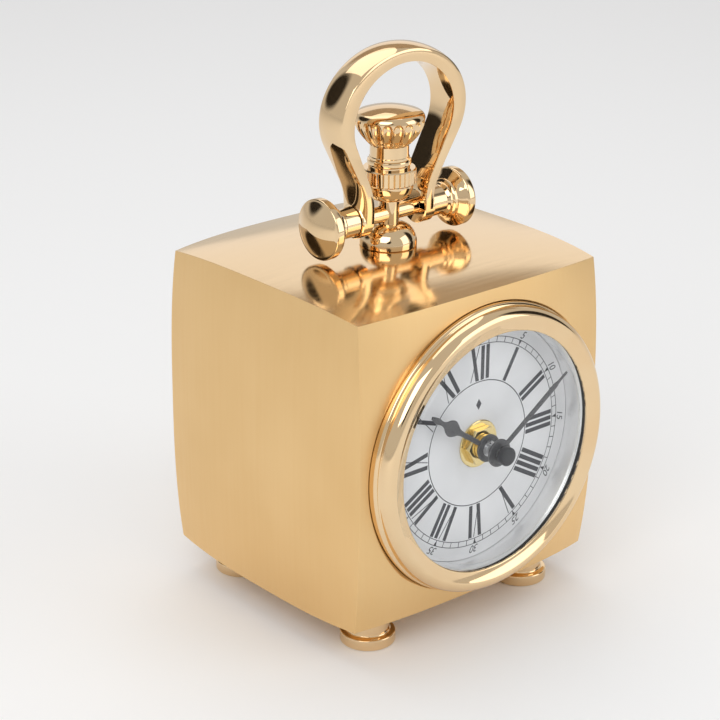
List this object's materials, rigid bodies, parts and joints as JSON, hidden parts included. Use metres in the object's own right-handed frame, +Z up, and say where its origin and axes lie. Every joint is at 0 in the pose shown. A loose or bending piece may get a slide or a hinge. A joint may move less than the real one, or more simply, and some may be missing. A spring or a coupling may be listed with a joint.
{
  "type": "mantel clock",
  "caption": "Square bowed brass mantel clock with a round domed dial, fluted crown and swinging carrying bow, quartz movement and hinged back door.",
  "frame": {"origin": "centre of the clock's footprint on the surface it stands on, in line with the crown stem", "axes": "+X to the right of the dial, +Y from the dial to the back, +Z up"},
  "size_m": [0.1016, 0.1164, 0.1778],
  "materials": {
    "satin_brass": "satin brushed",
    "polished_brass": "polished, pale gold",
    "bright_brass": "bright turned",
    "glass": "clear polished",
    "dial_white": "satin white with dark grey print",
    "cup_aluminium": "satin",
    "dark_metal": "satin dark grey",
    "black_plastic": "semi-gloss",
    "grey_plastic": "moulded matt",
    "white_plastic": "moulded",
    "steel": "zinc plated",
    "rubber": "matt",
    "battery_shell": "printed sleeve, plain",
    "board": "lacquered",
    "copper": "enamelled wire",
    "magnet": "sintered"
  },
  "bodies": {
    "clock": {"case_body": "satin_brass", "foot_front_left": "polished_brass", "foot_front_right": "polished_brass", "foot_rear_left": "polished_brass", "foot_rear_right": "polished_brass", "foot_screws": "steel", "bezel_base": "polished_brass", "bezel_front": "polished_brass", "glass": "glass", "glass_gasket": "rubber", "dial_cup": "cup_aluminium", "dial": "dial_white", "rubber_washer": "rubber", "brass_washer": "bright_brass", "hex_nut": "bright_brass", "threaded_bush": "bright_brass", "movement_front": "grey_plastic", "movement_rear": "grey_plastic", "train_plate": "grey_plastic", "battery": "battery_shell", "contact_positive": "steel", "contact_negative": "steel", "circuit_board": "board", "quartz_crystal": "steel", "coil_bobbin": "white_plastic", "coil_winding": "copper", "stator": "steel", "stem_pillar": "polished_brass", "knurled_collar": "polished_brass", "crown": "polished_brass", "stem_bolt": "steel", "stem_washer": "steel", "crossbar": "polished_brass", "knob_left": "polished_brass", "knob_right": "polished_brass", "rear_ring": "polished_brass", "rear_ring_screws": "steel", "hinge_pin": "steel"},
    "bow": {"handle_bow": "polished_brass"},
    "door": {"rear_door": "satin_brass", "door_pull": "polished_brass"},
    "rotor": {"rotor": "magnet"},
    "intermediate": {"intermediate_wheel": "white_plastic"},
    "seconds": {"seconds_wheel": "white_plastic", "seconds_cap": "black_plastic"},
    "third": {"third_wheel": "white_plastic"},
    "center": {"center_wheel": "white_plastic"},
    "minute": {"minute_arbor": "steel", "minute_hand": "dark_metal"},
    "motion": {"motion_wheel": "white_plastic", "setting_knob": "black_plastic"},
    "hour": {"hour_wheel": "steel", "hour_hand": "dark_metal"}
  },
  "joints": [
    {"name": "bow_swing", "type": "hinge", "parent": "clock", "child": "bow", "pos_m": [0, 0, 0.124], "axis": [1, 0, 0], "range_deg": [-99, 94]},
    {"name": "door_swing", "type": "hinge", "parent": "clock", "child": "door", "pos_m": [-0.0397, 0.05115, 0.062], "axis": [0, 0, 1], "range_deg": [0, 110]},
    {"name": "seconds_spin", "type": "hinge", "parent": "clock", "child": "seconds", "pos_m": [0, -0.03, 0.0608], "axis": [0, 1, 0], "continuous": true},
    {"name": "third_spin", "type": "hinge", "parent": "clock", "child": "third", "pos_m": [-0.01205, -0.03, 0.06293], "axis": [0, 1, 0], "continuous": true},
    {"name": "center_spin", "type": "hinge", "parent": "clock", "child": "center", "pos_m": [0, -0.03, 0.0608], "axis": [0, 1, 0], "continuous": true},
    {"name": "intermediate_spin", "type": "hinge", "parent": "clock", "child": "intermediate", "pos_m": [0.00219, -0.03, 0.07321], "axis": [0, 1, 0], "continuous": true},
    {"name": "rotor_spin", "type": "hinge", "parent": "clock", "child": "rotor", "pos_m": [0.01439, -0.03, 0.07214], "axis": [0, 1, 0], "continuous": true},
    {"name": "minute_spin", "type": "hinge", "parent": "clock", "child": "minute", "pos_m": [0, -0.03, 0.0608], "axis": [0, 1, 0], "continuous": true},
    {"name": "motion_spin", "type": "hinge", "parent": "clock", "child": "motion", "pos_m": [0.01275, -0.03, 0.06422], "axis": [0, 1, 0], "continuous": true},
    {"name": "hour_spin", "type": "hinge", "parent": "clock", "child": "hour", "pos_m": [0, -0.03, 0.0608], "axis": [0, 1, 0], "continuous": true}
  ],
  "couplings": [
    {"joint": "third_spin", "follows": "seconds_spin", "ratio": -0.13333},
    {"joint": "center_spin", "follows": "seconds_spin", "ratio": 0.016667},
    {"joint": "intermediate_spin", "follows": "seconds_spin", "ratio": -5},
    {"joint": "rotor_spin", "follows": "seconds_spin", "ratio": 30},
    {"joint": "motion_spin", "follows": "minute_spin", "ratio": -0.33333},
    {"joint": "hour_spin", "follows": "minute_spin", "ratio": 0.083333}
  ]
}
